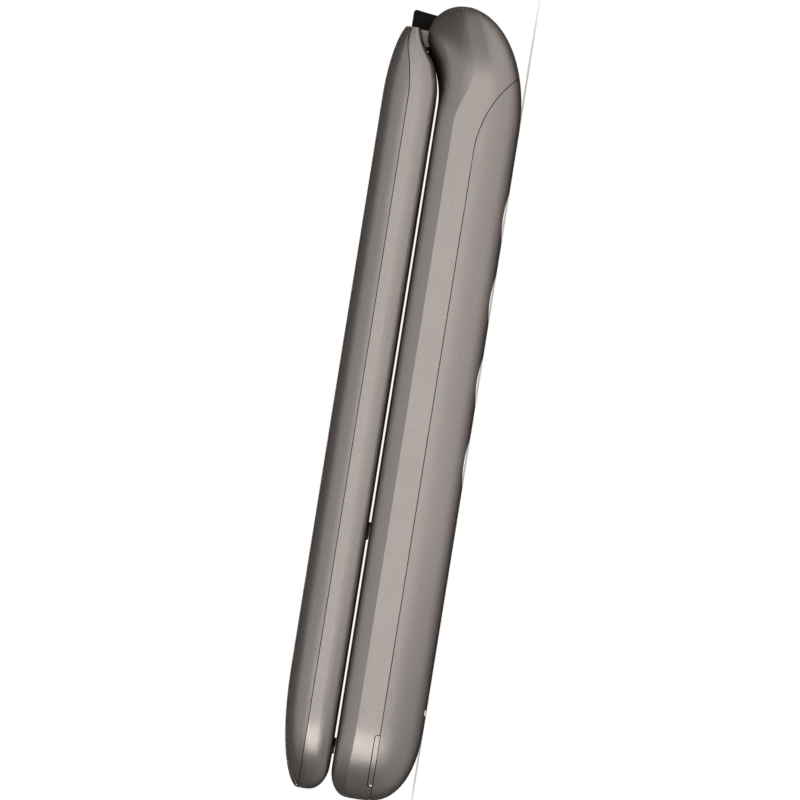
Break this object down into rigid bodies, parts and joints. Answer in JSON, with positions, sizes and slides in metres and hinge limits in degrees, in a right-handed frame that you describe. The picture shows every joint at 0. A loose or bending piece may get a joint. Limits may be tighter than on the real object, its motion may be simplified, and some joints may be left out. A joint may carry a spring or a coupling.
{
  "type": "flip phone",
  "caption": "Closed clamshell mobile phone with metallic grey shells, a keypad inside, displays in the lid and a centre barrel hinge; the lid swings open and the keys travel",
  "frame": {"origin": "middle of the phone's outline, on the plane it rests on with its back down", "axes": "+Y from the foot to the hinge, +Z from the battery cover up through the lid, +X to the phone's right-hand side"},
  "size_m": [0.0484, 0.0964, 0.0169],
  "materials": {
    "base_paint": "warm grey metallic paint, satin",
    "cover_paint": "warm grey metallic paint, satin",
    "lid_outer_paint": "warm grey metallic paint, satin",
    "lid_inner_paint": "warm grey metallic paint, satin",
    "hinge_black": "black, satin gloss",
    "frame_plastic": "glass-filled, fine grain",
    "battery_wrap": "printed film over an aluminium can",
    "board": "green solder resist",
    "stamped_steel": "tinned, stamped",
    "dome_film": "clear film with steel domes",
    "silicone": "milky silicone",
    "contact_metal": "gold-plated",
    "sim_plastic": "card stock with gold contacts",
    "socket_plastic": "black moulding",
    "motor_steel": "nickel-plated",
    "screw_steel": "blackened",
    "hinge_steel": "ground",
    "flex_film": "amber film",
    "key_plastic": "satin black with white digits",
    "call_key_plastic": "satin black with coloured marks",
    "soft_key_plastic": "satin black with white marks",
    "nav_metal": "metallised, fine turned grain",
    "ok_plastic": "metallic paint",
    "rocker_paint": "metallic paint",
    "latch_plastic": "dark, fine grain",
    "window_glass": "clear with a black printed border",
    "display_panel": "colour display module",
    "camera_black": "black barrel",
    "bumper_rubber": "black"
  },
  "bodies": {
    "base": {"antenna_carrier": "frame_plastic", "base_front_housing": "base_paint", "battery": "battery_wrap", "battery_contacts": "contact_metal", "battery_cover": "cover_paint", "dome_sheet": "dome_film", "headset_jack": "socket_plastic", "hinge_cartridge": "hinge_steel", "housing_screws": "screw_steel", "inner_frame": "frame_plastic", "keypad_membrane": "silicone", "loudspeaker": "frame_plastic", "main_board": "board", "microphone": "stamped_steel", "shield_cans": "stamped_steel", "side_switches": "socket_plastic", "sim_card": "sim_plastic", "sim_holder": "stamped_steel", "usb_port": "stamped_steel", "vibration_motor": "motor_steel"},
    "lid": {"lid_front_cover": "lid_outer_paint", "lid_inner_housing": "lid_inner_paint", "main_display_window": "window_glass", "main_display": "display_panel", "outer_display_window": "window_glass", "outer_display": "display_panel", "camera_module": "camera_black", "earpiece": "stamped_steel", "lid_board": "board", "lid_magnet": "motor_steel", "hinge_barrel": "hinge_black", "hinge_pin": "hinge_steel", "pivot_tube": "hinge_steel", "flex_cable": "flex_film", "bumpers": "bumper_rubber"},
    "key_1_body": {"key_1": "key_plastic"},
    "key_2_body": {"key_2": "key_plastic"},
    "key_3_body": {"key_3": "key_plastic"},
    "key_4_body": {"key_4": "key_plastic"},
    "key_5_body": {"key_5": "key_plastic"},
    "key_6_body": {"key_6": "key_plastic"},
    "key_7_body": {"key_7": "key_plastic"},
    "key_8_body": {"key_8": "key_plastic"},
    "key_9_body": {"key_9": "key_plastic"},
    "key_star_body": {"key_star": "key_plastic"},
    "key_0_body": {"key_0": "key_plastic"},
    "key_hash_body": {"key_hash": "key_plastic"},
    "key_send_body": {"key_send": "call_key_plastic"},
    "key_clear_body": {"key_clear": "call_key_plastic"},
    "key_end_body": {"key_end": "call_key_plastic"},
    "soft_key_left_body": {"soft_key_left": "soft_key_plastic"},
    "soft_key_right_body": {"soft_key_right": "soft_key_plastic"},
    "side_key_left_body": {"side_key_left": "soft_key_plastic"},
    "side_key_right_body": {"side_key_right": "soft_key_plastic"},
    "nav_ring_body": {"nav_ring": "nav_metal"},
    "ok_key_body": {"ok_key": "ok_plastic"},
    "volume_key_body": {"volume_key": "rocker_paint"},
    "cover_latch_body": {"cover_latch": "latch_plastic"}
  },
  "joints": [
    {"name": "lid_hinge", "type": "hinge", "parent": "base", "child": "lid", "pos_m": [0, 0.0442, 0.0086], "axis": [-1, 0, 0], "range_deg": [0, 150]},
    {"name": "key_1_press", "type": "slide", "parent": "base", "child": "key_1_body", "axis": [0, 0, -1], "range_m": [0, 0.0003], "stiffness_N_per_m": 500},
    {"name": "key_2_press", "type": "slide", "parent": "base", "child": "key_2_body", "axis": [0, 0, -1], "range_m": [0, 0.0003], "stiffness_N_per_m": 500},
    {"name": "key_3_press", "type": "slide", "parent": "base", "child": "key_3_body", "axis": [0, 0, -1], "range_m": [0, 0.0003], "stiffness_N_per_m": 500},
    {"name": "key_4_press", "type": "slide", "parent": "base", "child": "key_4_body", "axis": [0, 0, -1], "range_m": [0, 0.0003], "stiffness_N_per_m": 500},
    {"name": "key_5_press", "type": "slide", "parent": "base", "child": "key_5_body", "axis": [0, 0, -1], "range_m": [0, 0.0003], "stiffness_N_per_m": 500},
    {"name": "key_6_press", "type": "slide", "parent": "base", "child": "key_6_body", "axis": [0, 0, -1], "range_m": [0, 0.0003], "stiffness_N_per_m": 500},
    {"name": "key_7_press", "type": "slide", "parent": "base", "child": "key_7_body", "axis": [0, 0, -1], "range_m": [0, 0.0003], "stiffness_N_per_m": 500},
    {"name": "key_8_press", "type": "slide", "parent": "base", "child": "key_8_body", "axis": [0, 0, -1], "range_m": [0, 0.0003], "stiffness_N_per_m": 500},
    {"name": "key_9_press", "type": "slide", "parent": "base", "child": "key_9_body", "axis": [0, 0, -1], "range_m": [0, 0.0003], "stiffness_N_per_m": 500},
    {"name": "key_star_press", "type": "slide", "parent": "base", "child": "key_star_body", "axis": [0, 0, -1], "range_m": [0, 0.0003], "stiffness_N_per_m": 500},
    {"name": "key_0_press", "type": "slide", "parent": "base", "child": "key_0_body", "axis": [0, 0, -1], "range_m": [0, 0.0003], "stiffness_N_per_m": 500},
    {"name": "key_hash_press", "type": "slide", "parent": "base", "child": "key_hash_body", "axis": [0, 0, -1], "range_m": [0, 0.0003], "stiffness_N_per_m": 500},
    {"name": "key_send_press", "type": "slide", "parent": "base", "child": "key_send_body", "axis": [0, 0, -1], "range_m": [0, 0.0003], "stiffness_N_per_m": 500},
    {"name": "key_clear_press", "type": "slide", "parent": "base", "child": "key_clear_body", "axis": [0, 0, -1], "range_m": [0, 0.0003], "stiffness_N_per_m": 500},
    {"name": "key_end_press", "type": "slide", "parent": "base", "child": "key_end_body", "axis": [0, 0, -1], "range_m": [0, 0.0003], "stiffness_N_per_m": 500},
    {"name": "soft_key_left_press", "type": "slide", "parent": "base", "child": "soft_key_left_body", "axis": [0, 0, -1], "range_m": [0, 0.0003], "stiffness_N_per_m": 500},
    {"name": "soft_key_right_press", "type": "slide", "parent": "base", "child": "soft_key_right_body", "axis": [0, 0, -1], "range_m": [0, 0.0003], "stiffness_N_per_m": 500},
    {"name": "side_key_left_press", "type": "slide", "parent": "base", "child": "side_key_left_body", "axis": [0, 0, -1], "range_m": [0, 0.0003], "stiffness_N_per_m": 500},
    {"name": "side_key_right_press", "type": "slide", "parent": "base", "child": "side_key_right_body", "axis": [0, 0, -1], "range_m": [0, 0.0003], "stiffness_N_per_m": 500},
    {"name": "nav_ring_press", "type": "slide", "parent": "base", "child": "nav_ring_body", "axis": [0, 0, -1], "range_m": [0, 0.0003], "stiffness_N_per_m": 500},
    {"name": "ok_key_press", "type": "slide", "parent": "base", "child": "ok_key_body", "axis": [0, 0, -1], "range_m": [0, 0.0003], "stiffness_N_per_m": 500},
    {"name": "volume_rock", "type": "hinge", "parent": "base", "child": "volume_key_body", "pos_m": [-0.02235, 0.0128, 0.00652], "axis": [0, 0, 1], "range_deg": [-1.5, 1.5], "stiffness_Nm_per_rad": 0.05},
    {"name": "latch_slide", "type": "slide", "parent": "base", "child": "cover_latch_body", "axis": [0, 1, 0], "range_m": [0, 0.001], "stiffness_N_per_m": 500}
  ]
}
